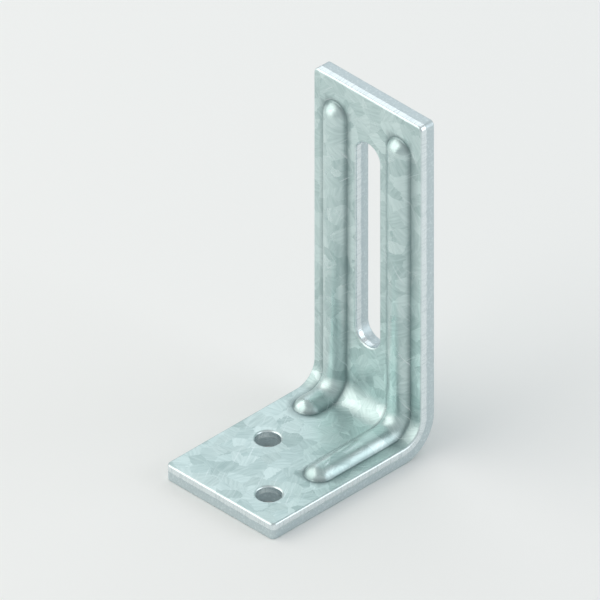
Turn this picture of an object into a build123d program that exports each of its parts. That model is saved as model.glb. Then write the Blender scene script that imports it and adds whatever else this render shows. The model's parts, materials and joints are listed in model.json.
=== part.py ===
from build123d import *
import os

# Bent strip, in millimetres
clip_width = 25.4
leg_height = 66.7
base_length = 38.1
sheet_thickness = 3.2
inside_bend_radius = 4.0
corner_radius = 1.0
edge_rounding = 0.3

# Nailing slot, upright in the middle of the leg
slot_width = 5.6
slot_length = 41.3
slot_top_margin = 9.5

# Nail holes in the base, one each side of the middle line
nail_hole_diameter = 4.4
nail_hole_offset = 5.7
front_hole_setback = 6.0
rear_hole_setback = 17.2

# Pressed ribs, raised on the inner face and hollow behind
rib_inset = 5.2
rib_width = 5.2
rib_height = 1.8
rib_root_radius = 0.5
rib_top_margin = 4.6
short_rib_setback = 26.0
long_rib_setback = 13.5
groove_width = 3.4
groove_depth = 1.8
groove_mouth_radius = 0.4

# The origin is under the middle of the clip, on the surface that the base lies on.
# The leg stands at the back and the base runs forward, towards -Y.
back_y = base_length / 2
front_y = -base_length / 2
outside_bend_radius = inside_bend_radius + sheet_thickness
bend_y = back_y - outside_bend_radius
bend_z = outside_bend_radius
bend_axis = Axis((0, bend_y, bend_z), (-1, 0, 0))

# Centres of the round rib ends
rib_x = clip_width / 2 - rib_inset
rib_top_z = leg_height - rib_top_margin - rib_width / 2
short_rib_end_y = front_y + short_rib_setback + rib_width / 2
long_rib_end_y = front_y + long_rib_setback + rib_width / 2


def wave_section(place, width, height, blend_radius, backing):
    # Round crest that runs into the flat on both sides, with the metal or the air behind it
    reach = width / 2 + 2 * blend_radius
    with BuildSketch(place) as section:
        with BuildLine():
            crest = ThreePointArc((-width / 2, 0), (0, height), (width / 2, 0))
            Polyline(crest @ 1, (reach, 0), (reach, -backing), (-reach, -backing), (-reach, 0), crest @ 0)
        make_face()
        crest_feet = section.vertices().group_by(Axis.Y)[-1].sort_by(lambda foot: abs(foot.X))[:2]
        fillet(crest_feet, blend_radius)
    return section


def pressed_wave(middle_x, base_end_y, face_radius, width, height, blend_radius, backing):
    # One wave from its round top end down the leg, round the bend and out along the base.
    # It rises from the face that lies face_radius from the bend axis.
    leg_face_y = bend_y + face_radius
    base_face_z = bend_z - face_radius
    leg_top = Plane((middle_x, leg_face_y, rib_top_z), x_dir=(1, 0, 0), z_dir=(0, 0, -1))
    leg_foot = Plane((middle_x, leg_face_y, bend_z), x_dir=(1, 0, 0), z_dir=(0, 0, -1))
    base_heel = Plane((middle_x, bend_y, base_face_z), x_dir=(1, 0, 0), z_dir=(0, -1, 0))
    base_end = Plane((middle_x, base_end_y, base_face_z), x_dir=(1, 0, 0), z_dir=(0, -1, 0))
    section_sizes = (width, height, blend_radius, backing)
    with BuildPart() as wave:
        extrude(wave_section(leg_top, *section_sizes).sketch, amount=rib_top_z - bend_z)
        revolve(wave_section(leg_foot, *section_sizes).sketch, axis=bend_axis, revolution_arc=90)
        extrude(wave_section(base_heel, *section_sizes).sketch, amount=bend_y - base_end_y)
        for end, turn_axis in ((leg_top, (0, -1, 0)), (base_end, (0, 0, -1))):
            middle_plane = Plane(end.origin, z_dir=(1, 0, 0))
            half_section = split(
                wave_section(end, *section_sizes).sketch,
                bisect_by=middle_plane,
                keep=Keep.TOP,
                mode=Mode.PRIVATE,
            )
            revolve(half_section, axis=Axis(end.origin, turn_axis), revolution_arc=180)
    return wave.part


# Raised side and hollow side of each rib
raised_ribs = []
rib_grooves = []
for middle_x, base_end_y in ((-rib_x, short_rib_end_y), (rib_x, long_rib_end_y)):
    raised_ribs.append(
        pressed_wave(
            middle_x,
            base_end_y,
            inside_bend_radius,
            rib_width,
            rib_height,
            rib_root_radius,
            sheet_thickness / 2,
        )
    )
    rib_grooves.append(
        pressed_wave(
            middle_x,
            base_end_y,
            outside_bend_radius,
            groove_width,
            groove_depth,
            groove_mouth_radius,
            sheet_thickness,
        )
    )

with BuildPart() as truss_clip:
    # Side view of the strip, drawn along its outer face and thickened inwards
    with BuildSketch(Plane.YZ):
        with BuildLine():
            outer_face = FilletPolyline(
                (front_y, 0),
                (back_y, 0),
                (back_y, leg_height),
                radius=outside_bend_radius,
            )
            offset(amount=sheet_thickness, side=Side.LEFT)
        make_face()
    extrude(amount=clip_width / 2, both=True)

    # Corners of the blank, at the top of the leg and the front of the base
    fillet(truss_clip.edges().filter_by(Axis.Y).group_by(Axis.Z)[-1], corner_radius)
    fillet(truss_clip.edges().filter_by(Axis.Z).group_by(Axis.Y)[0], corner_radius)

    # Sheared edges: rounded over all the way round the inner face, left square round the outer face
    top_inner_edge = truss_clip.edges().filter_by(Axis.X).group_by(Axis.Z)[-1].sort_by(Axis.Y)[0]
    fillet(top_inner_edge, edge_rounding)

    # Ribs
    add(raised_ribs)
    add(rib_grooves, mode=Mode.SUBTRACT)

    # Nailing slot
    with BuildSketch(Plane.XZ.offset(-back_y)):
        with Locations((0, leg_height - slot_top_margin - slot_length / 2)):
            SlotOverall(slot_length, slot_width, rotation=90)
    extrude(amount=sheet_thickness, mode=Mode.SUBTRACT)

    # Nail holes
    with Locations(
        (-nail_hole_offset, front_y + rear_hole_setback, sheet_thickness),
        (nail_hole_offset, front_y + front_hole_setback, sheet_thickness),
    ):
        Hole(nail_hole_diameter / 2)

truss_clip.part.label = "truss_clip"

os.makedirs("parts", exist_ok=True)
export_step(truss_clip.part, "parts/truss_clip.step")
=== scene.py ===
import json
import math
import bpy
import numpy as np
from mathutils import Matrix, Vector
from mathutils.geometry import delaunay_2d_cdt


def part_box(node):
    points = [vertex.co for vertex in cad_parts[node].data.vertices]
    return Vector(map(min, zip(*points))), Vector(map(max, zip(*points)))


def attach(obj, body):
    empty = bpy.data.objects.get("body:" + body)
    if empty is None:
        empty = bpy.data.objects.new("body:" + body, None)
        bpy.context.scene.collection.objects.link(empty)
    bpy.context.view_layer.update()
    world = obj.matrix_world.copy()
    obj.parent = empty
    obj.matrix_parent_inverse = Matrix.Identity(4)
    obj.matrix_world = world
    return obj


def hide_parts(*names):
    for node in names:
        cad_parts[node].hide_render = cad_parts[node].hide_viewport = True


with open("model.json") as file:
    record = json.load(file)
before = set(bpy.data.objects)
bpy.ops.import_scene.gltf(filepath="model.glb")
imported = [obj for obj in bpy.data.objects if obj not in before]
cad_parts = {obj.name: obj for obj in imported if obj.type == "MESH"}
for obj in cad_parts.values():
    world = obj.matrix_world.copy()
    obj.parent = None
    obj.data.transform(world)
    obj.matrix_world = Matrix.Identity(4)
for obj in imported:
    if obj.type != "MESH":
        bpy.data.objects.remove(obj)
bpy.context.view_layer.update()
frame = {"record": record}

mm = 0.001
print("frame loaded")


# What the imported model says: the clip's box, and where its slot and round holes are, all in mm
def packedPlaces():
    low, high = (np.array(corner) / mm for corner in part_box("truss_clip"))
    mounts = {mount["name"]: mount for mount in frame["record"]["mounts"]}
    slot, holes = mounts["nailing_slot"], mounts["nail_holes"]
    return {
        "low": low,
        "high": high,
        "slotMiddle": np.array(slot["pos_m"]) / mm,
        "slotLength": slot["dims"]["slot_length_mm"],
        "slotRadius": slot["dims"]["hole_r_mm"],
        "holesMiddle": np.array(holes["pos_m"]) / mm,
        "holesCircle": holes["dims"]["pcd_mm"],
        "holeRadius": holes["dims"]["hole_r_mm"],
    }


places = packedPlaces()

# The clip, in mm unless said otherwise
clipSizes = {
    # sheet, bend and openings
    "thickness": 3.2,
    "insideRadius": 4.0,
    "cornerRadius": 1.0,
    "holeTurn": 44.49,  # direction of the line through both round holes, degrees from +X towards -Y
    # cut edges
    "rollOver": 0.42,  # rounded edge on the side where the shear blade went in
    "burrRounding": 0.2,  # nearly square edge where it came out
    "shineShare": 0.38,  # share of the cut wall that the blade left smooth
    "tearBack": 0.07,  # how far the torn part of the wall stands back
    # how the wall steps back there: depth past the smooth part, share of tearBack, lean in radians
    "tearSteps": ((0.08, 0.35, 0.35), (0.22, 0.9, 0.25), (0.4, 1.0, 0.0)),
    # pressed ribs: the raised side in front and the hollow side behind. root is the radius of the
    # arc at a rib's foot
    "ribInset": 5.2,
    "ribTopMargin": 4.6,
    "ribSetbacks": (26.0, 13.5),  # from the base's front edge, left and right
    "ribFront": {"width": 5.2, "height": 1.8, "root": 0.5, "drawIn": 0.05},
    "ribBack": {"width": 3.4, "height": 1.8, "root": 0.4, "drawIn": 0.0},
    "drawInReach": 1.5,  # the face sinks by drawIn beside a rib, and by a third of it this far off
    # worked steel and painted shade: over what width the marks of the bend and the painted shade
    # along a rib's root fade out
    "bendEasing": 2.5,
    "rootShadeSpread": 0.33,
    # how finely the surface is divided, in mm or steps
    "flatStep": 1.3,
    "edgeStep": 0.8,
    "bendSteps": 22,
    "bendMargin": 0.2,  # outline points this near to the bend give way to the bend's own rows
    "crestSteps": 9,
    "rootSteps": 5,
    "endSteps": 24,
    "circleSteps": 56,
    "cornerSteps": 8,
    "rollOverSteps": 5,
    "burrSteps": 4,
    "keepOff": 0.3,  # room between the points of one part and the next
    "normalStep": 0.004,  # step that the slopes for the normals are taken over
    "sliver": 1e-4,  # a triangle whose middle is this near to a rim isn't metal
    "sameWithin": 1e-6,  # points this near count as one in the triangulation
    "decimals": 5,  # and before it, points that agree this far count as one
    "loopShift": 10.0,  # depth between two loops in wallPlace, so that no two walls get one pattern
}

# The bend: its axis, and the strip laid flat
# Blank coordinates are u across the width and s along the strip. s is 0 where the bend starts under
# the leg, negative up the leg, and grows round the bend and out along the base.
quarter = math.pi / 2
outsideRadius = clipSizes["insideRadius"] + clipSizes["thickness"]
middleRadius = (clipSizes["insideRadius"] + outsideRadius) / 2
bendLength = middleRadius * quarter
bendY = places["high"][1] - outsideRadius
bendZ = places["low"][2] + outsideRadius
halfWidth = places["high"][0]
legEnd = -(places["high"][2] - bendZ)
baseEnd = bendLength + bendY - places["low"][1]


# s of a height z on the leg: its way down to the bend, negative
def legToBlank(z):
    return bendZ - z


# s of a place y on the base: the bend's length and the way out from it
def baseToBlank(y):
    return bendLength + bendY - y


# Folds blank points into the clip. radius is each point's distance from the bend axis before it
# runs off straight: insideRadius on the front face and outsideRadius on the back.
# y = bendY + radius cos(turn) - run along the base, z = bendZ - radius sin(turn) + run up the leg
def fold(u, s, radius):
    turn = np.clip(s / middleRadius, 0, quarter)
    legRun = np.maximum(-s, 0)
    baseRun = np.maximum(s - bendLength, 0)
    y = bendY + radius * np.cos(turn) - baseRun
    z = bendZ - radius * np.sin(turn) + legRun
    return np.stack([u + 0 * y, y, z], axis=-1)


# Section of a pressed rib: a crest arc through its height and width, with radius
# (half^2 + height^2) / (2 height), and a root arc that touches it at the joint and runs out flat
# at the foot
def ribSection(side):
    half, height, root = side["width"] / 2, side["height"], side["root"]
    crest = (half**2 + height**2) / (2 * height)
    crestMiddle = height - crest
    foot = math.sqrt((crest + root) ** 2 - (root - crestMiddle) ** 2)
    return {
        "height": height,
        "crest": crest,
        "crestMiddle": crestMiddle,
        "root": root,
        "foot": foot,
        "joint": foot * crest / (crest + root),
        "drawIn": side["drawIn"],
    }


# Height over the face by distance d from the rib's middle line: crestMiddle + sqrt(crest^2 - d^2)
# up to the joint, root - sqrt(root^2 - (d - foot)^2) from there to the foot and 0 past it, less
# drawIn exp(-((d - foot) / reach)^2) all along, where the steel was drawn into the rib
def ribHeight(distance, section):
    onCrest = np.minimum(distance, section["joint"])
    crestLine = section["crestMiddle"] + np.sqrt(section["crest"] ** 2 - onCrest**2)
    onRoot = np.clip(distance, section["joint"], section["foot"]) - section["foot"]
    rootLine = section["root"] - np.sqrt(section["root"] ** 2 - onRoot**2)
    pastFoot = (distance - section["foot"]) / clipSizes["drawInReach"]
    sunk = section["drawIn"] * np.exp(-(pastFoot**2))
    return np.where(distance < section["joint"], crestLine, rootLine) - sunk


# Distances across the section where the mesh has a line, evenly spaced by angle on both arcs
def ribLines(section):
    crestTurn = math.asin(section["joint"] / section["crest"])
    crestAngles = np.linspace(0, crestTurn, clipSizes["crestSteps"] + 1)
    rootAngles = np.linspace(crestTurn, 0, clipSizes["rootSteps"] + 1)
    onCrest = section["crest"] * np.sin(crestAngles)
    onRoot = section["foot"] - section["root"] * np.sin(rootAngles)
    return np.concatenate([onCrest, onRoot[1:]])


# Middle line of each rib in the blank: u, s of its top end and s of its base end
def ribMiddleLines():
    endRadius = clipSizes["ribFront"]["width"] / 2
    top = legToBlank(places["high"][2] - clipSizes["ribTopMargin"] - endRadius)
    middles = []
    for side, setback in zip((-1, 1), clipSizes["ribSetbacks"]):
        end = baseToBlank(places["low"][1] + setback + endRadius)
        middles.append((side * (halfWidth - clipSizes["ribInset"]), top, end))
    return middles


ribMiddles = ribMiddleLines()


# Distance in the blank from a rib's middle line: length(du, max(top - s, s - end, 0))
def ribDistance(u, s, rib):
    ribU, topS, endS = rib
    return np.hypot(u - ribU, np.maximum(np.maximum(topS - s, s - endS), 0))


# Height of the ribs over a face at a blank point: the higher of the two
def wave(u, s, section):
    return np.maximum.reduce([ribHeight(ribDistance(u, s, rib), section) for rib in ribMiddles])


frontSection, backSection = ribSection(clipSizes["ribFront"]), ribSection(clipSizes["ribBack"])


# The two faces: the blank folded at the face's radius, less the height of the ribs
def frontPoints(u, s):
    return fold(u, s, clipSizes["insideRadius"] - wave(u, s, frontSection))


def backPoints(u, s):
    return fold(u, s, outsideRadius - wave(u, s, backSection))


# Points strictly between two corners, at even steps on the flats and on the bend's rows round it
def sideSteps(start, end):
    length = np.abs(end - start).max()
    share = np.linspace(0, 1, max(2, round(length / clipSizes["edgeStep"])) + 1)[1:-1]
    points = start + share[:, None] * (end - start)
    if min(start[1], end[1]) < 0 and max(start[1], end[1]) > bendLength:
        margin = clipSizes["bendMargin"]
        inBend = (points[:, 1] > -margin) & (points[:, 1] < bendLength + margin)
        rows = np.linspace(0, bendLength, clipSizes["bendSteps"] + 1)
        bent = np.stack([np.full_like(rows, start[0]), rows], axis=-1)
        points = np.concatenate([points[~inBend], bent])
        points = points[np.argsort(points[:, 1] * np.sign(end[1] - start[1]))]
    return points


# Joins arcs by straight sides into a closed loop. Every arc is its points and, for each of them,
# the direction that leads off its middle
def joinArcs(arcs):
    points, outs = [], []
    for (ends, endOuts), (starts, _) in zip(arcs, arcs[1:] + arcs[:1]):
        between = sideSteps(ends[-1], starts[0])
        points += [ends, between]
        outs += [endOuts, np.repeat(endOuts[-1:], len(between), axis=0)]
    return np.concatenate(points), np.concatenate(outs)


# centre + radius (cos, sin) of evenly spaced angles
def arc(centre, radius, angles):
    out = np.stack([np.cos(angles), np.sin(angles)], axis=-1)
    return np.array(centre) + radius * out, out


# Outlines in the blank: closed loops of points, each with the direction that leads out of the metal
def roundedBlank():
    radius = clipSizes["cornerRadius"]
    turns = np.linspace(0, quarter, clipSizes["cornerSteps"] + 1)
    centres = [
        (halfWidth - radius, baseEnd - radius),
        (-halfWidth + radius, baseEnd - radius),
        (-halfWidth + radius, legEnd + radius),
        (halfWidth - radius, legEnd + radius),
    ]
    corners = [arc(centre, radius, turns + at * quarter) for at, centre in enumerate(centres)]
    return joinArcs(corners)


# The slot: two half circles with straight sides between them
def slotLoop():
    radius = places["slotRadius"]
    reach = places["slotLength"] / 2 - radius
    middleU, middleS = places["slotMiddle"][0], legToBlank(places["slotMiddle"][2])
    turns = np.linspace(0, math.pi, clipSizes["circleSteps"] // 2 + 1)
    points, outs = joinArcs([
        arc((middleU, middleS + reach), radius, turns),
        arc((middleU, middleS - reach), radius, turns + math.pi),
    ])
    return points, -outs


# The round holes lie half their circle either way from its middle, along holeTurn's line
def holeCentres():
    angle = math.radians(clipSizes["holeTurn"])
    step = places["holesCircle"] / 2 * np.array([math.cos(angle), -math.sin(angle)])
    middle = places["holesMiddle"][:2]
    return [(point[0], baseToBlank(point[1])) for point in (middle - step, middle + step)]


# A round hole: one whole circle
def holeLoop(centre):
    turns = np.linspace(0, 2 * math.pi, clipSizes["circleSteps"], endpoint=False)
    points, outs = arc(centre, places["holeRadius"], turns)
    return points, -outs


# Round an opening the metal lies on the other side, so those loops run the other way
openings = [slotLoop()] + [holeLoop(centre) for centre in holeCentres()]
loops = [roundedBlank()] + [(points[::-1], outs[::-1]) for points, outs in openings]
print("outlines:", [len(points) for points, _ in loops], "points")


# Distance in the blank from the nearest cut edge, positive inside the metal. The outline's is
# -(length(max(d, 0)) + min(max(du, ds), 0) - radius), and an opening's is the way to its middle
# less its radius
def metalDepth(u, s):
    radius = clipSizes["cornerRadius"]
    middleS, halfS = (legEnd + baseEnd) / 2, (baseEnd - legEnd) / 2
    du = np.abs(u) - (halfWidth - radius)
    ds = np.abs(s - middleS) - (halfS - radius)
    beyond = np.hypot(np.maximum(du, 0), np.maximum(ds, 0))
    outline = beyond + np.minimum(np.maximum(du, ds), 0) - radius
    reach = places["slotLength"] / 2 - places["slotRadius"]
    fromSlot = np.maximum(np.abs(s - legToBlank(places["slotMiddle"][2])) - reach, 0)
    depths = [-outline, np.hypot(u - places["slotMiddle"][0], fromSlot) - places["slotRadius"]]
    for holeU, holeS in holeCentres():
        depths.append(np.hypot(u - holeU, s - holeS) - places["holeRadius"])
    return np.minimum.reduce(depths)


# All pairs of a value from across and one from rows, as blank points
def gridPoints(across, rows):
    return np.stack(np.meshgrid(across, rows), axis=-1).reshape(-1, 2)


# Blank points inside one face: lines along the ribs, rings round their ends, an even net between
def facePoints(section, margin):
    lines = ribLines(section)
    keepOff, flatStep = clipSizes["keepOff"], clipSizes["flatStep"]
    flatRows = np.concatenate([
        np.arange(legEnd, 0, flatStep),
        np.linspace(0, bendLength, clipSizes["bendSteps"] + 1),
        np.arange(bendLength + flatStep, baseEnd, flatStep),
    ])
    net = gridPoints(np.arange(-halfWidth, halfWidth + flatStep, flatStep), flatRows)
    turns = np.linspace(0, math.pi, clipSizes["endSteps"] + 1)[1:-1]
    points = []
    for rib in ribMiddles:
        ribU, topS, endS = rib
        net = net[ribDistance(net[:, 0], net[:, 1], rib) > section["foot"] + keepOff]
        rows = flatRows[(flatRows > topS + keepOff) & (flatRows < endS - keepOff)]
        across = np.concatenate([-lines[:0:-1], lines]) + ribU
        points.append(gridPoints(across, np.concatenate([[topS], rows, [endS]])))
        for endCentre, towards in ((topS, -1), (endS, 1)):
            ring = np.stack([np.cos(turns), towards * np.sin(turns)], axis=-1)
            end = np.array([ribU, endCentre]) + lines[1:, None, None] * ring[None]
            points.append(end.reshape(-1, 2))
    points = np.concatenate([net] + points)
    points = points[metalDepth(points[:, 0], points[:, 1]) > margin + keepOff]
    return np.unique(points.round(clipSizes["decimals"]), axis=0)


# Delaunay triangles of one face between its cut edges, which are held as edges of the mesh.
# Every loop is drawn in from the true edge by the width of the rounding.
def triangulate(section, rounding):
    rims = [points - rounding * out for points, out in loops]
    edges, start = [], 0
    for rim in rims:
        index = np.arange(len(rim)) + start
        edges.append(np.stack([index, np.roll(index, -1)], axis=-1))
        start += len(rim)
    points = np.concatenate(rims + [facePoints(section, rounding)])
    result = delaunay_2d_cdt(
        [Vector(point) for point in points.tolist()],
        np.concatenate(edges).tolist(), [], 0, clipSizes["sameWithin"],
    )
    origin = np.array([sources[0] for sources in result[3]])
    triangles = origin[np.array(result[2])]
    centres = points[triangles].mean(axis=1)
    triangles = triangles[metalDepth(centres[:, 0], centres[:, 1]) > rounding + clipSizes["sliver"]]
    a, b, c = (points[triangles[:, corner]] for corner in range(3))
    area = (b[:, 0] - a[:, 0]) * (c[:, 1] - a[:, 1]) - (b[:, 1] - a[:, 1]) * (c[:, 0] - a[:, 0])
    triangles = np.where((area > 0)[:, None], triangles, triangles[:, ::-1])
    return points, triangles


# Unit normals of a face: the cross product of small steps of its formula in u and in s
def faceNormals(surface, u, s, outward):
    step = clipSizes["normalStep"]
    alongU = surface(u + step, s) - surface(u - step, s)
    alongS = surface(u, s + step) - surface(u, s - step)
    normal = outward * np.cross(alongU, alongS)
    return normal / np.linalg.norm(normal, axis=-1, keepdims=True)


# Profile of the cut wall from the front face to the back: how far each point stands in from the
# true edge, its depth in the sheet, and its normal's angle from the front face's normal
def wallProfile():
    thickness, tear = clipSizes["thickness"], clipSizes["tearBack"]
    front, back = clipSizes["rollOver"], clipSizes["burrRounding"]
    shineEnd = thickness * clipSizes["shineShare"]
    rows = []
    for turn in np.linspace(0, quarter, clipSizes["rollOverSteps"] + 1):
        rows.append((front * (1 - math.sin(turn)), front * (1 - math.cos(turn)), turn))
    rows.append((0, shineEnd, quarter))
    for further, share, lean in clipSizes["tearSteps"]:
        rows.append((share * tear, shineEnd + further, quarter + lean))
    rows.append((tear, thickness - back, quarter))
    for turn in np.linspace(quarter, math.pi, clipSizes["burrSteps"] + 1)[1:]:
        inset = tear + (back - tear) * (1 - math.sin(turn))
        rows.append((inset, thickness - back * (1 + math.cos(turn)), turn))
    return np.array(rows)


# How much the steel was worked at a blank point, each from 0 to 1: in the bend and on a rib; and
# how much painted shade lies along a rib's root line, exp(-((d - root line) / spread)^2) by
# distance d from its middle
def workedSteelAndRootShade(u, s, section):
    easing, spread = clipSizes["bendEasing"], clipSizes["rootShadeSpread"]
    bend = np.clip(1 + s / easing, 0, 1) * np.clip(1 + (bendLength - s) / easing, 0, 1)
    crest = wave(u, s, section) / section["height"]
    rootLine = (section["joint"] + section["foot"]) / 2
    fromRoot = np.minimum.reduce([np.abs(ribDistance(u, s, rib) - rootLine) for rib in ribMiddles])
    # the third entry is no mark of worked steel but the mask of a painted shade along each rib's
    # root
    return np.stack([bend, crest, np.exp(-((fromRoot / spread) ** 2))], axis=-1)


# Way round a loop: its length wrapped on a circle, (x, y) = radius (cos, sin)(way / radius), so
# that its two ends meet, and a third number that tells depth and loop
def wayRound(loop, depth, number):
    steps = np.linalg.norm(np.roll(loop, -1, axis=0) - loop, axis=-1)
    radius = steps.sum() / (2 * math.pi)
    turn = (np.cumsum(steps) - steps) / radius
    third = np.full(len(loop), depth + clipSizes["loopShift"] * number)
    return np.stack([radius * np.cos(turn), radius * np.sin(turn), third], axis=-1)


# Directions at a loop's points in the folded clip: out of the front face, and out of the metal
def wallDirections(loop, out):
    turn = np.clip(loop[:, 1] / middleRadius, 0, quarter)
    toFront = np.stack([0 * turn, -np.cos(turn), np.sin(turn)], axis=-1)
    alongS = np.stack([0 * turn, -np.sin(turn), -np.cos(turn)], axis=-1)
    return toFront, out[:, :1] * np.array([1.0, 0, 0]) + out[:, 1:] * alongS


# One face of the clip as a block of points, with their normals and what the material reads
def faceBlock(blank, surface, outward, depth, section):
    u, s = blank.T
    wall = np.zeros((len(blank), 3))
    rimStart = 0
    for number, (loop, _) in enumerate(loops):
        wall[rimStart:rimStart + len(loop)] = wayRound(loop, depth, number)
        rimStart += len(loop)
    return {
        "points": surface(u, s),
        "normals": faceNormals(surface, u, s, outward),
        "sheetPlace": np.stack([u, s, 0 * u + depth], axis=-1),
        "workedSteelAndRootShade": workedSteelAndRootShade(u, s, section),
        "wallPlace": wall,
        "cutWall": np.zeros(len(blank)),
    }


# One row of a wall: the loop set in by the row's inset and folded at the row's depth.
# Its normal is cos(angle) towards the front and sin(angle) out of the metal, and its share of
# cut wall is sin^2(angle)
def wallBlock(loop, out, number, row):
    inset, depth, angle = row
    rim = loop - inset * out
    toFront, outward = wallDirections(loop, out)
    return {
        "points": fold(rim[:, 0], rim[:, 1], clipSizes["insideRadius"] + depth),
        "normals": math.cos(angle) * toFront + math.sin(angle) * outward,
        "sheetPlace": np.concatenate([rim, np.full((len(loop), 1), depth)], axis=-1),
        "workedSteelAndRootShade": workedSteelAndRootShade(rim[:, 0], rim[:, 1], frontSection),
        "wallPlace": wayRound(loop, depth, number),
        "cutWall": np.full(len(loop), math.sin(angle) ** 2),
    }


# The whole clip: front face, back face and, round every loop, the cut wall that joins them.
# A wall's first and last rows are the rims of the two faces, so the shell is closed.
def buildClip():
    frontBlank, frontFaces = triangulate(frontSection, clipSizes["rollOver"])
    backBlank, backFaces = triangulate(backSection, clipSizes["burrRounding"])
    blocks = [
        faceBlock(frontBlank, frontPoints, -1, 0.0, frontSection),
        faceBlock(backBlank, backPoints, 1, clipSizes["thickness"], backSection),
    ]
    faces = [frontFaces[:, ::-1], backFaces + len(frontBlank)]
    rimStart, following = 0, len(frontBlank) + len(backBlank)
    profile = wallProfile()
    for number, (loop, out) in enumerate(loops):
        index = np.arange(len(loop))
        rows = [index + rimStart]
        for row in profile[1:-1]:
            blocks.append(wallBlock(loop, out, number, row))
            rows.append(index + following)
            following += len(loop)
        rows.append(index + rimStart + len(frontBlank))
        for upper, lower in zip(rows[:-1], rows[1:]):
            faces.append(np.stack([upper, np.roll(upper, -1), np.roll(lower, -1), lower], axis=-1))
        rimStart += len(loop)
    shell = {name: np.concatenate([block[name] for block in blocks]) for name in blocks[0]}
    return meshObject(shell, [face for group in faces for face in group.tolist()])


# Puts the shell into a mesh, with its normals and the attributes that the material reads
def meshObject(shell, faces):
    mesh = bpy.data.meshes.new("trussClipSteel")
    mesh.from_pydata((shell["points"] * mm).tolist(), [], faces)
    for name in ("sheetPlace", "wallPlace", "workedSteelAndRootShade"):
        values = shell[name].astype(np.float32).ravel()
        mesh.attributes.new(name, "FLOAT_VECTOR", "POINT").data.foreach_set("vector", values)
    values = shell["cutWall"].astype(np.float32)
    mesh.attributes.new("cutWall", "FLOAT", "POINT").data.foreach_set("value", values)
    mesh.polygons.foreach_set("use_smooth", np.ones(len(mesh.polygons), bool))
    mesh.normals_split_custom_set_from_vertices(shell["normals"].tolist())
    mesh.update()
    clip = bpy.data.objects.new("truss_clip_steel", mesh)
    bpy.context.scene.collection.objects.link(clip)
    print("clip:", len(mesh.vertices), "points,", len(mesh.polygons), "faces")
    return clip


# sRGB hex to linear light: part / 12.92 up to 0.04045, ((part + 0.055) / 1.055)^2.4 above
def colour(hexCode):
    parts = [int(hexCode[at:at + 2], 16) / 255 for at in (1, 3, 5)]
    light = [part / 12.92 if part <= 0.04045 else ((part + 0.055) / 1.055) ** 2.4 for part in parts]
    return light + [1.0]


# Adds a node, sets its properties and inputs, and links its inputs from other nodes' outputs
def addNode(tree, kind, settings=None, links=None):
    node = tree.nodes.new("ShaderNode" + kind)
    for name, value in (settings or {}).items():
        if hasattr(node, str(name)):
            setattr(node, name, value)
        else:
            node.inputs[name].default_value = value
    for name, source in (links or {}).items():
        tree.links.new(source, node.inputs[name])
    return node


# A material with nothing in it but a Principled shader
def newMaterial(name):
    material = bpy.data.materials.new(name)
    material.use_nodes = True
    tree = material.node_tree
    tree.nodes.clear()
    output = tree.nodes.new("ShaderNodeOutputMaterial")
    shader = addNode(tree, "BsdfPrincipled")
    tree.links.new(shader.outputs["BSDF"], output.inputs["Surface"])
    return material, tree, shader


# Lengths in mm. Tones, roughnesses and heights are how much each pattern adds
galvanisedSizes = {
    "spangle": 2.6,  # width of one zinc crystal
    "borderWave": 0.9,  # its border wanders in waves of this length
    "raggedness": 0.4,  # and by this much
    "featherWide": 0.42,  # fine branches in it, drawn three times as wide as real so that they show
    "featherLong": 3.4,
    "cloud": 11.0,  # broad changes of tone
    "crystalTone": 0.75,
    "branchTone": 1.3,
    "cloudTone": 0.5,
    # painted shade: how far the ribs' root lines are darkened towards rootShade
    "rootShadeStrength": 0.75,
    "dieRubAt": 2.2,  # past each end of the bend the die's shoulder rubs a line on the outer face
    "dieRubHalf": 0.55,
    # handling marks: turn in radians, width and length
    "scuffs": ((0.5, 0.26, 9.0), (-0.9, 0.22, 6.0)),
    "scuffLevels": (0.66, 0.78),  # only the highest of the noise is a mark
    "scuffDepth": 1.4,  # marks change over this much depth, so both faces have their own
    "outerSkin": 0.1,  # the outer face is what lies this near to the full thickness
    "rubTone": 0.45,
    "striation": 0.34,  # scratches of the blade across a cut edge, drawn coarse enough to show
    "striationLong": 3.3,
    "tornGrain": 0.4,
    "tearWave": 1.7,  # the line where the wall turns torn wanders in waves of this length
    "tearWander": 0.5,  # and by this much
    "tearEasing": (-0.05, 0.35),  # over this stretch of depth
    # scratches and grain between these levels change the tone by cutTone each way
    "cutLevels": (0.3, 0.7),
    "cutTone": 0.55,
    "bendLine": 0.28,  # fine lines along the bend, where the coat was stretched
    "bendLineLong": 2.9,
    "dimple": 0.45,  # orange peel of the molten coat
    "borderGroove": 0.06,  # as a share of a crystal
    "tilt": 0.08,  # how far a crystal's face leans
    "relief": 0.006,
    "heights": {"border": 0.5, "branch": 0.45, "bend": 0.9, "cut": 5.0},
    "darkCrystal": "#ABC2C1",
    "lightCrystal": "#D0E2E1",
    # colour of the painted shade laid in the creases at the ribs' roots
    "rootShade": "#66797B",
    "cutShine": "#E8F1F3",
    "cutTorn": "#C6D3D6",
    "metallic": 0.9,
    "roughness": 0.40,
    "roughCrystal": 0.14,
    "roughBend": 0.16,
    "roughCrest": -0.07,
    "roughRub": -0.12,
    "roughShine": 0.26,
    "roughTorn": 0.52,
}


randomMiddle = (0.5, 0.5, 0.5)  # of noise and random colours, which run from 0 to 1


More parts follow.
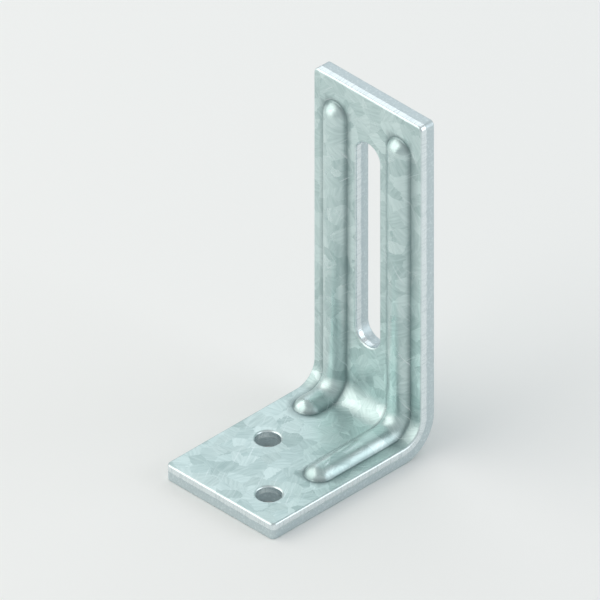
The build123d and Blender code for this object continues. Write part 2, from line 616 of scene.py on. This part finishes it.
# Crystals with ragged borders, each with a chance of its own, and fine branches that are turned a
# different way in each
def zincCrystals(add, place):
    size = galvanisedSizes
    wander = add("TexNoise", {"Scale": 1 / size["borderWave"], "Detail": 3.0, "Roughness": 0.6},
                 {"Vector": place})
    centred = add("VectorMath", {"operation": "SUBTRACT", 1: randomMiddle}, {0: wander["Color"]})
    ragged = add("VectorMath", {"operation": "MULTIPLY_ADD", 1: (2 * size["raggedness"],) * 3},
                 {0: centred[0], 2: place})
    crystal = add("TexVoronoi", {"Scale": 1 / size["spangle"]}, {"Vector": ragged[0]})
    border = add("TexVoronoi", {"feature": "DISTANCE_TO_EDGE", "Scale": 1 / size["spangle"]},
                 {"Vector": ragged[0]})
    chance = add("SeparateColor", {}, {0: crystal["Color"]})
    turn = add("Math", {"operation": "MULTIPLY", 1: 2 * math.pi}, {0: chance[2]})
    turned = add("VectorRotate", {"rotation_type": "Z_AXIS"}, {"Vector": place, "Angle": turn[0]})
    across, along = 1 / size["featherWide"], 1 / size["featherLong"]
    drawn = add("VectorMath", {"operation": "MULTIPLY", 1: (across, along, along)}, {0: turned[0]})
    feather = add("TexNoise", {"Scale": 1.0, "Detail": 2.0, "Roughness": 0.5}, {"Vector": drawn[0]})
    return {
        "toneChance": chance[0],
        "roughChance": chance[1],
        "leanChance": crystal["Color"],
        "border": border["Distance"],
        "feather": feather["Fac"],
    }


# Tone: the crystal's own, its branches, broad clouds of the coat, and a painted shade that darkens
# the creases along the ribs' roots
def zincColour(add, place, crystals, root):
    size = galvanisedSizes
    cloud = add("TexNoise", {"Scale": 1 / size["cloud"], "Detail": 2.0}, {"Vector": place})
    swing = size["branchTone"]
    branch = add("Math", {"operation": "MULTIPLY_ADD", 1: swing, 2: -swing / 2},
                 {0: crystals["feather"]})
    crystal = add("Math", {"operation": "MULTIPLY_ADD", 1: size["crystalTone"]},
                  {0: crystals["toneChance"], 2: branch[0]})
    tone = add("Math", {"operation": "MULTIPLY_ADD", 1: size["cloudTone"], "use_clamp": True},
               {0: cloud["Fac"], 2: crystal[0]})
    dark, light = colour(size["darkCrystal"]), colour(size["lightCrystal"])
    bright = add("Mix", {"data_type": "RGBA", 6: dark, 7: light}, {0: tone[0]})
    # painted shade: the creases at the ribs' roots are darkened in the colour itself
    shade = add("Math", {"operation": "MULTIPLY", 1: size["rootShadeStrength"]}, {0: root})
    shaded = add("Mix", {"data_type": "RGBA", 7: colour(size["rootShade"])},
                 {0: shade[0], 6: bright[2]})
    return shaded[2]


# Rubbed places: a line beside each end of the bend on the outer face, and a few handling scuffs.
# Nothing reaches into the hollows behind the ribs
def rubMarks(add, place, crest):
    size = galvanisedSizes
    blank = add("SeparateXYZ", {}, {0: place})
    fromMiddle = add("Math", {"operation": "SUBTRACT", 1: bendLength / 2}, {0: blank["Y"]})
    bothWays = add("Math", {"operation": "ABSOLUTE"}, {0: fromMiddle[0]})
    fromLine = add("Math", {"operation": "SUBTRACT", 1: bendLength / 2 + size["dieRubAt"]},
                   {0: bothWays[0]})
    offLine = add("Math", {"operation": "ABSOLUTE"}, {0: fromLine[0]})
    dieLine = add("MapRange", {"interpolation_type": "SMOOTHSTEP", "From Max": size["dieRubHalf"],
                               "To Min": 1.0, "To Max": 0.0}, {0: offLine[0]})
    outerDepth = clipSizes["thickness"] - size["outerSkin"]
    outerFace = add("Math", {"operation": "GREATER_THAN", 1: outerDepth}, {0: blank["Z"]})
    rubbed = add("Math", {"operation": "MULTIPLY"}, {0: dieLine[0], 1: outerFace[0]})
    lowest, highest = size["scuffLevels"]
    for scuffTurn, wide, long in size["scuffs"]:
        along = add("VectorRotate", {"rotation_type": "Z_AXIS", "Angle": scuffTurn},
                    {"Vector": place})
        reach = (1 / wide, 1 / long, 1 / size["scuffDepth"])
        stretch = add("VectorMath", {"operation": "MULTIPLY", 1: reach}, {0: along[0]})
        marks = add("TexNoise", {"Scale": 1.0, "Detail": 1.0}, {"Vector": stretch[0]})
        scuff = add("MapRange", {"From Min": lowest, "From Max": highest}, {0: marks["Fac"]})
        rubbed = add("Math", {"operation": "MAXIMUM"}, {0: rubbed[0], 1: scuff[0]})
    hollow = add("Math", {"operation": "MULTIPLY"}, {0: outerFace[0], 1: crest})
    reached = add("Math", {"operation": "SUBTRACT", 0: 1.0}, {1: hollow[0]})
    return add("Math", {"operation": "MULTIPLY"}, {0: rubbed[0], 1: reached[0]})[0]


# Cut wall: smooth and finely scratched where the blade passed, torn and dull below
def cutSteel(add, place, wallPlace):
    size = galvanisedSizes
    wander = add("TexNoise", {"Scale": 1 / size["tearWave"], "Detail": 2.0}, {"Vector": wallPlace})
    swing = size["tearWander"]
    wandered = add("Math", {"operation": "MULTIPLY_ADD", 1: swing, 2: -swing / 2},
                   {0: wander["Fac"]})
    depth = add("SeparateXYZ", {}, {0: place})
    tearAt = add("Math", {"operation": "ADD"}, {0: depth["Z"], 1: wandered[0]})
    shineDepth = clipSizes["thickness"] * clipSizes["shineShare"]
    before, after = size["tearEasing"]
    torn = add("MapRange", {"interpolation_type": "SMOOTHSTEP", "From Min": shineDepth + before,
                            "From Max": shineDepth + after}, {0: tearAt[0]})
    across, along = 1 / size["striation"], 1 / size["striationLong"]
    scratchScale = (across, across, along)
    scratchPlace = add("VectorMath", {"operation": "MULTIPLY", 1: scratchScale}, {0: wallPlace})
    scratch = add("TexNoise", {"Scale": 1.0, "Detail": 2.0}, {"Vector": scratchPlace[0]})
    grain = add("TexNoise", {"Scale": 1 / size["tornGrain"], "Detail": 3.0, "Roughness": 0.65},
                {"Vector": wallPlace})
    relief = add("Mix", {"data_type": "FLOAT"}, {0: torn[0], 2: scratch["Fac"], 3: grain["Fac"]})
    lowest, highest = size["cutLevels"]
    spread = add("MapRange", {"From Min": lowest, "From Max": highest, "To Min": -size["cutTone"],
                              "To Max": size["cutTone"]}, {0: relief[0]})
    tone = add("Math", {"operation": "ADD", "use_clamp": True}, {0: torn[0], 1: spread[0]})
    bright, dull = colour(size["cutShine"]), colour(size["cutTorn"])
    mixed = add("Mix", {"data_type": "RGBA", 6: bright, 7: dull}, {0: tone[0]})
    rough = add("MapRange", {"To Min": size["roughShine"], "To Max": size["roughTorn"]},
                {0: torn[0]})
    return {"colour": mixed[2], "roughness": rough[0], "relief": relief[0]}


# Normal of the surface: crystals lean a little each their own way, over a dimpled coat. Pressed and
# cut steel doesn't lean
def coatNormal(add, place, crystals, stretched, crest, cutWall, cutRelief):
    size = galvanisedSizes
    heights = size["heights"]
    lean = add("VectorMath", {"operation": "SUBTRACT", 1: randomMiddle},
               {0: crystals["leanChance"]})
    pressed = add("Math", {"operation": "MAXIMUM"}, {0: cutWall, 1: crest})
    tilt = add("Math", {"operation": "MULTIPLY_ADD", 1: -size["tilt"], 2: size["tilt"]},
               {0: pressed[0]})
    leanBy = add("VectorMath", {"operation": "SCALE"}, {0: lean[0], "Scale": tilt[0]})
    leant = add("VectorMath", {"operation": "ADD"}, {0: add("NewGeometry")["Normal"], 1: leanBy[0]})
    normal = add("VectorMath", {"operation": "NORMALIZE"}, {0: leant[0]})
    dimple = add("TexNoise", {"Scale": 1 / size["dimple"], "Detail": 2.0}, {"Vector": place})
    groove = add("MapRange", {"From Max": size["borderGroove"]}, {0: crystals["border"]})
    coat = add("Math", {"operation": "MULTIPLY_ADD", 1: heights["border"]},
               {0: groove[0], 2: dimple["Fac"]})
    branches = add("Math", {"operation": "MULTIPLY_ADD", 1: heights["branch"]},
                   {0: crystals["feather"], 2: coat[0]})
    bent = add("Math", {"operation": "MULTIPLY_ADD", 1: heights["bend"]},
               {0: stretched, 2: branches[0]})
    cut = add("Math", {"operation": "MULTIPLY", 1: heights["cut"]}, {0: cutRelief})
    height = add("Mix", {"data_type": "FLOAT"}, {0: cutWall, 2: bent[0], 3: cut[0]})
    bump = add("Bump", {"Distance": size["relief"] * mm, "Strength": 1.0},
               {"Height": height[0], "Normal": normal[0]})
    return bump[0]


# Hot-dip galvanised sheet steel, zinc crystals grown on the strip before it was cut and pressed.
# To the eye: a pale blue-grey metal with soft, large-grained spangle that follows the sheet round
# the bend, duller where the steel was worked, and bare bright-then-torn steel on the cut edges.
def galvanisedSteel():
    size = galvanisedSizes
    material, tree, shader = newMaterial("hotDipGalvanisedSteel")

    def add(kind, settings=None, links=None):
        return addNode(tree, kind, settings, links).outputs

    place = add("Attribute", {"attribute_name": "sheetPlace"})["Vector"]
    wallPlace = add("Attribute", {"attribute_name": "wallPlace"})["Vector"]
    worked = add("Attribute", {"attribute_name": "workedSteelAndRootShade"})["Vector"]
    # root is the mask of a painted shade along the ribs' roots
    bend, crest, root = add("SeparateXYZ", {}, {0: worked})
    cutWall = add("Attribute", {"attribute_name": "cutWall"})["Fac"]

    crystals = zincCrystals(add, place)
    zinc = zincColour(add, place, crystals, root)
    rubbed = rubMarks(add, place, crest)
    cut = cutSteel(add, place, wallPlace)
    rubTone = add("Math", {"operation": "MULTIPLY", 1: size["rubTone"]}, {0: rubbed})
    rubbedZinc = add("Mix", {"data_type": "RGBA", 7: colour(size["cutShine"])},
                     {0: rubTone[0], 6: zinc})
    baseColour = add("Mix", {"data_type": "RGBA"}, {0: cutWall, 6: rubbedZinc[2], 7: cut["colour"]})

    # fine lines along the bend
    lineScale = (1 / size["bendLineLong"], 1 / size["bendLine"], 1.0)
    linePlace = add("VectorMath", {"operation": "MULTIPLY", 1: lineScale}, {0: place})
    bendLines = add("TexNoise", {"Scale": 1.0, "Detail": 3.0}, {"Vector": linePlace[0]})
    stretched = add("Math", {"operation": "MULTIPLY"}, {0: bendLines["Fac"], 1: bend})[0]

    # crystals differ in roughness, the stretched bend is duller, a rib's crest is rubbed bright
    smoothest = size["roughness"] - size["roughCrystal"] / 2
    rough = add("Math", {"operation": "MULTIPLY_ADD", 1: size["roughCrystal"], 2: smoothest},
                {0: crystals["roughChance"]})
    for name, share in (("roughBend", stretched), ("roughCrest", crest), ("roughRub", rubbed)):
        rough = add("Math", {"operation": "MULTIPLY_ADD", 1: size[name]}, {0: share, 2: rough[0]})
    roughness = add("Mix", {"data_type": "FLOAT"}, {0: cutWall, 2: rough[0], 3: cut["roughness"]})

    shader.inputs["Metallic"].default_value = size["metallic"]
    tree.links.new(baseColour[2], shader.inputs["Base Color"])
    tree.links.new(roughness[0], shader.inputs["Roughness"])
    normal = coatNormal(add, place, crystals, stretched, crest, cutWall, cut["relief"])
    tree.links.new(normal, shader.inputs["Normal"])
    print("material:", material.name, len(tree.nodes), "nodes")
    return material


clip = buildClip()
clip.data.materials.append(galvanisedSteel())
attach(clip, "root")
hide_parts("truss_clip")

# Studio: floor, world and soft boxes. Places in mm from the middle of the clip's footprint
studioSizes = {
    "floorHalf": 3000.0,
    "floorGap": 0.02,  # keeps the floor and the underside of the base out of one plane
    "floorColour": "#F1F2F1",
    "floorRoughness": 0.9,
    "floorSpecular": 0.2,
    "worldColour": "#F4F7F8",
    "worldStrength": 0.60,
    "frameWidth": 100.0,
    "cameraAzimuth": 45.0,
    "cameraElevation": 35.264,  # an isometric view looks down the diagonal of a cube
    "cameraDistance": 700.0,
    "cameraClip": (10.0, 10000.0),
    "boxes": {  # place, size, power in watts, colour
        "keyBox": ((-370.0, -400.0, 365.0), (940.0, 760.0), 2.95, "#FFFBF5"),
        "topBox": ((-260.0, 360.0, 420.0), (560.0, 420.0), 0.5, "#F5FAFF"),
        "sideBox": ((450.0, 330.0, 250.0), (560.0, 400.0), 1.0, "#F6FAFF"),
    },
}


# Matt painted board: one large square under the clip, pale and even, without gloss
def buildFloor():
    half, level = studioSizes["floorHalf"] * mm, -studioSizes["floorGap"] * mm
    corners = [(x * half, y * half, level) for x, y in ((-1, -1), (1, -1), (1, 1), (-1, 1))]
    mesh = bpy.data.meshes.new("studioFloor")
    mesh.from_pydata(corners, [], [[0, 1, 2, 3]])
    floor = bpy.data.objects.new("studio_floor", mesh)
    bpy.context.scene.collection.objects.link(floor)
    material, tree, shader = newMaterial("mattPaintedBoard")
    shader.inputs["Base Color"].default_value = colour(studioSizes["floorColour"])
    shader.inputs["Roughness"].default_value = studioSizes["floorRoughness"]
    shader.inputs["Specular IOR Level"].default_value = studioSizes["floorSpecular"]
    mesh.materials.append(material)


# A pale world and soft boxes that face the middle of the clip's height
def addLights():
    world = bpy.data.worlds.new("paleStudio")
    world.use_nodes = True
    background = world.node_tree.nodes["Background"]
    background.inputs["Color"].default_value = colour(studioSizes["worldColour"])
    background.inputs["Strength"].default_value = studioSizes["worldStrength"]
    bpy.context.scene.world = world
    aim = Vector((0, 0, places["high"][2] / 2 * mm))
    for name, (place, sides, power, tint) in studioSizes["boxes"].items():
        light = bpy.data.lights.new(name, "AREA")
        light.shape = "RECTANGLE"
        light.size, light.size_y = (side * mm for side in sides)
        light.energy = power
        light.color = colour(tint)[:3]
        lamp = bpy.data.objects.new(name, light)
        lamp.location = Vector(place) * mm
        lamp.rotation_euler = (aim - lamp.location).to_track_quat("-Z", "Y").to_euler()
        bpy.context.scene.collection.objects.link(lamp)


# Looks at the middle of the clip's box, from a distance that an orthographic view doesn't show
def addCamera():
    azimuth = math.radians(studioSizes["cameraAzimuth"])
    elevation = math.radians(studioSizes["cameraElevation"])
    back = Vector((
        math.sin(azimuth) * math.cos(elevation),
        -math.cos(azimuth) * math.cos(elevation),
        math.sin(elevation),
    ))
    view = bpy.data.cameras.new("isometricCamera")
    view.type = "ORTHO"
    view.ortho_scale = studioSizes["frameWidth"] * mm
    view.clip_start, view.clip_end = (reach * mm for reach in studioSizes["cameraClip"])
    camera = bpy.data.objects.new("isometricCamera", view)
    middle = Vector((places["low"] + places["high"]) / 2 * mm)
    camera.location = middle + back * studioSizes["cameraDistance"] * mm
    camera.rotation_euler = (-back).to_track_quat("-Z", "Y").to_euler()
    bpy.context.scene.collection.objects.link(camera)
    bpy.context.scene.camera = camera


buildFloor()
addLights()
addCamera()
bpy.context.scene.view_settings.view_transform = "Standard"
print("studio: floor, world,", len(studioSizes["boxes"]), "soft boxes and camera")
